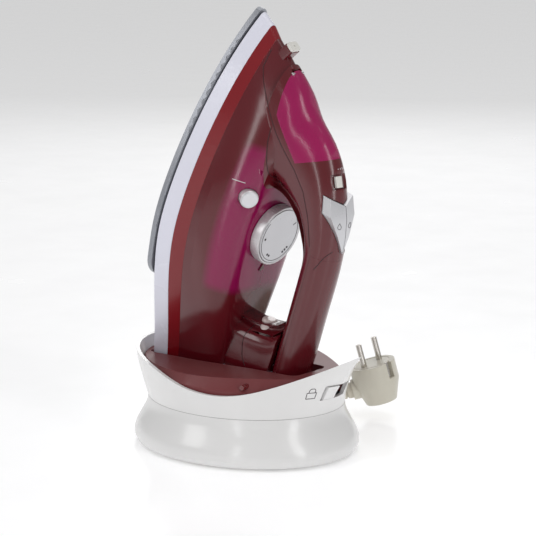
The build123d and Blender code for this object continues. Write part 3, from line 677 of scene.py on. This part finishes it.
buttonMarks = {"sprayDrop": ("spray_button", "spray_push", dropShape((128, -6.2), 2.6)),
               "steamDrop": ("boost_button", "boost_push", ringShape((128, 6.2), 2.0))}
for name, (node, body, shape) in buttonMarks.items():
    beads(name, body, [found(fromAbove((node,), x, y) for x, y in shape)], markRadius["thin"], inkDark)
print("marks on the iron made")

# plate that closes the skirt behind the sole
heelPlate = {"corners": ((213, 40), (243, 34), (243, -34), (213, -40)), "levels": (6.8, 8.2)}
plateBuild = bmesh.new()
rings = [[plateBuild.verts.new(onIron(x, y, z)) for x, y in heelPlate["corners"]]
         for z in heelPlate["levels"]]
for ring in rings:
    plateBuild.faces.new(ring)
for i in range(4):
    j = (i + 1) % 4
    plateBuild.faces.new((rings[0][i], rings[0][j], rings[1][j], rings[1][i]))
bmesh.ops.recalc_face_normals(plateBuild, faces=plateBuild.faces)
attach(meshPiece("heelPlate", plateBuild, finishes["pale_skirt"]), "iron")

# lamp behind its lens
lampParts = {"x": 236, "z": 87, "radius": 0.0034}
flatDots("lampDot", "iron", [onIron(lampParts["x"], 0, lampParts["z"])], lampParts["radius"], -heelward,
         finishes["indicator"])

# padlock sign by the lock on the base
lockParts = {"y": -22.5, "z": 57.0, "size": 3.2,
             "body": [(-1, -1), (1, -1), (1, 0.5), (-1, 0.5), (-1, -1)],
             "shackle": [(-0.65, 0.5), (-0.65, 1.1), (-0.35, 1.55), (0.35, 1.55), (0.65, 1.1), (0.65, 0.5)]}


def onBase(y, z):
    return castOn(("base_upper", "base_lower"), Vector((0.3, y / 1000, z / 1000)), Vector((-1, 0, 0)))


lockLines = [found(onBase(lockParts["y"] + y * lockParts["size"], lockParts["z"] + z * lockParts["size"])
                   for y, z in spread(lockParts[shape], 0.4)) for shape in ("body", "shackle")]
beads("lockSign", "base", longEnough(lockLines), markRadius["seam"], inkDark)

# joint line round the waist of the base
waistParts = {"a": 82.5, "b": 70.0, "z": 38.0}
waistLine = [Vector((waistParts["a"] * math.cos(math.radians(t)) + baseMiddle[0],
                     waistParts["b"] * math.sin(math.radians(t)), waistParts["z"])) / 1000
             for t in range(0, 360, 4)]
beads("waistLine", "base", [waistLine], 0.00018, grooveGrey, closed=True, sides=6)

# screws and vents under the base
underParts = {"z": 27.9, "screwR": 0.003, "spots": ((58, 0), (-58, 0), (0, 44), (0, -44)), "ventRing": 0.02,
              "ventCount": 16, "vent": (0.008, 0.0016, 0.0006)}
screwSpots = [Vector((x + baseMiddle[0], y, underParts["z"])) / 1000 for x, y in underParts["spots"]]
flatDots("baseScrews", "base", screwSpots, underParts["screwR"], Vector((0, 0, -1)), finishes["steel"], 24,
         0.0006)
ribs("baseVents", "base", {"Count": underParts["ventCount"], "Radius": underParts["ventRing"],
                           "Rib": underParts["vent"], "Turn": (0, 0, 0),
                           "Place": Vector((*baseMiddle, underParts["z"])) / 1000, "Finish": grooveDark})

# ring moulded in the plug's face
plugRing = {"radius": 15.2, "rise": 0.02}
plugAt = {k: Vector(cordParts[k]) for k in ("plugFace", "plugExit", "plugUp")}
plugSide = plugAt["plugUp"].cross(plugAt["plugExit"]).normalized()
ringMiddle = plugAt["plugFace"] + plugAt["plugUp"] * plugRing["rise"]
faceRing = [(ringMiddle + plugRing["radius"] * (plugAt["plugExit"].normalized() * math.cos(math.radians(a))
                                               + plugSide * math.sin(math.radians(a)))) / 1000
            for a in range(0, 360, 8)]
beads("plugFaceRing", "base", [faceRing], 0.0003, finishes["plug"], closed=True)
print("base and plug details made")

# floor, light and camera
studio = {"floor": (0.84, 0.84, 0.85), "lens": 169.2, "seen": 1.0, "fill": 0.34, "glow": 0.32,
          "cameraAt": (1.2408, -1.465, 0.538), "aim": (-0.0212, 0.040, 0.133), "lit": (0, 0, 0.15)}
floorPaint = plasticFinish("paleFloor", studio["floor"], 0.24, 0.01, 30, 0.0, dust=0)
floorShader = floorPaint.node_tree.nodes["Principled BSDF"]
floorShader.inputs["Emission Color"].default_value = (1, 1, 1, 1)
floorShader.inputs["Emission Strength"].default_value = studio["glow"]
sheet = bmesh.new()
bmesh.ops.create_grid(sheet, x_segments=1, y_segments=1, size=60)
meshPiece("floor", sheet, floorPaint)

world = bpy.data.worlds.new("studio")
bpy.context.scene.world = world
world.use_nodes = True
sky = world.node_tree
rays = addNode(sky, "ShaderNodeLightPath")
power = addNode(sky, "ShaderNodeMapRange")
power.inputs["To Min"].default_value = studio["fill"]
power.inputs["To Max"].default_value = studio["seen"]
sky.links.new(rays.outputs["Is Camera Ray"], power.inputs["Value"])
sky.nodes["Background"].inputs["Color"].default_value = (1, 1, 1, 1)
sky.links.new(power.outputs[0], sky.nodes["Background"].inputs["Strength"])
# each lamp: place, watts, width, height
lamps = {"keyPanel": ((-0.9, -1.5, 1.3), 11, 0.7, 1.6), "sidePanel": ((1.7, -0.3, 0.8), 8, 0.35, 1.5),
         "topPanel": ((0.1, 0.3, 1.9), 11, 1.6, 1.6), "rearPanel": ((-0.9, 1.3, 0.9), 5, 0.8, 0.8),
         "lowStrip": ((0.45, -1.9, 0.5), 3.5, 0.16, 1.5)}
for name, (spot, watts, width, height) in lamps.items():
    data = bpy.data.lights.new(name, "AREA")
    data.shape = "RECTANGLE"
    data.energy = watts
    data.size = width
    data.size_y = height
    lampObject = addObject(name, data)
    lampObject.location = spot
    lampObject.rotation_euler = (Vector(studio["lit"]) - Vector(spot)).to_track_quat("-Z", "Y").to_euler()
cameraData = bpy.data.cameras.new("camera")
cameraData.lens = studio["lens"]
cameraData.sensor_width = 36
camera = addObject("camera", cameraData)
camera.location = studio["cameraAt"]
gaze = Vector(studio["aim"]) - Vector(studio["cameraAt"])
camera.rotation_euler = gaze.to_track_quat("-Z", "Y").to_euler()
bpy.context.scene.camera = camera
bpy.context.scene.view_settings.view_transform = "Standard"
print("studio set")
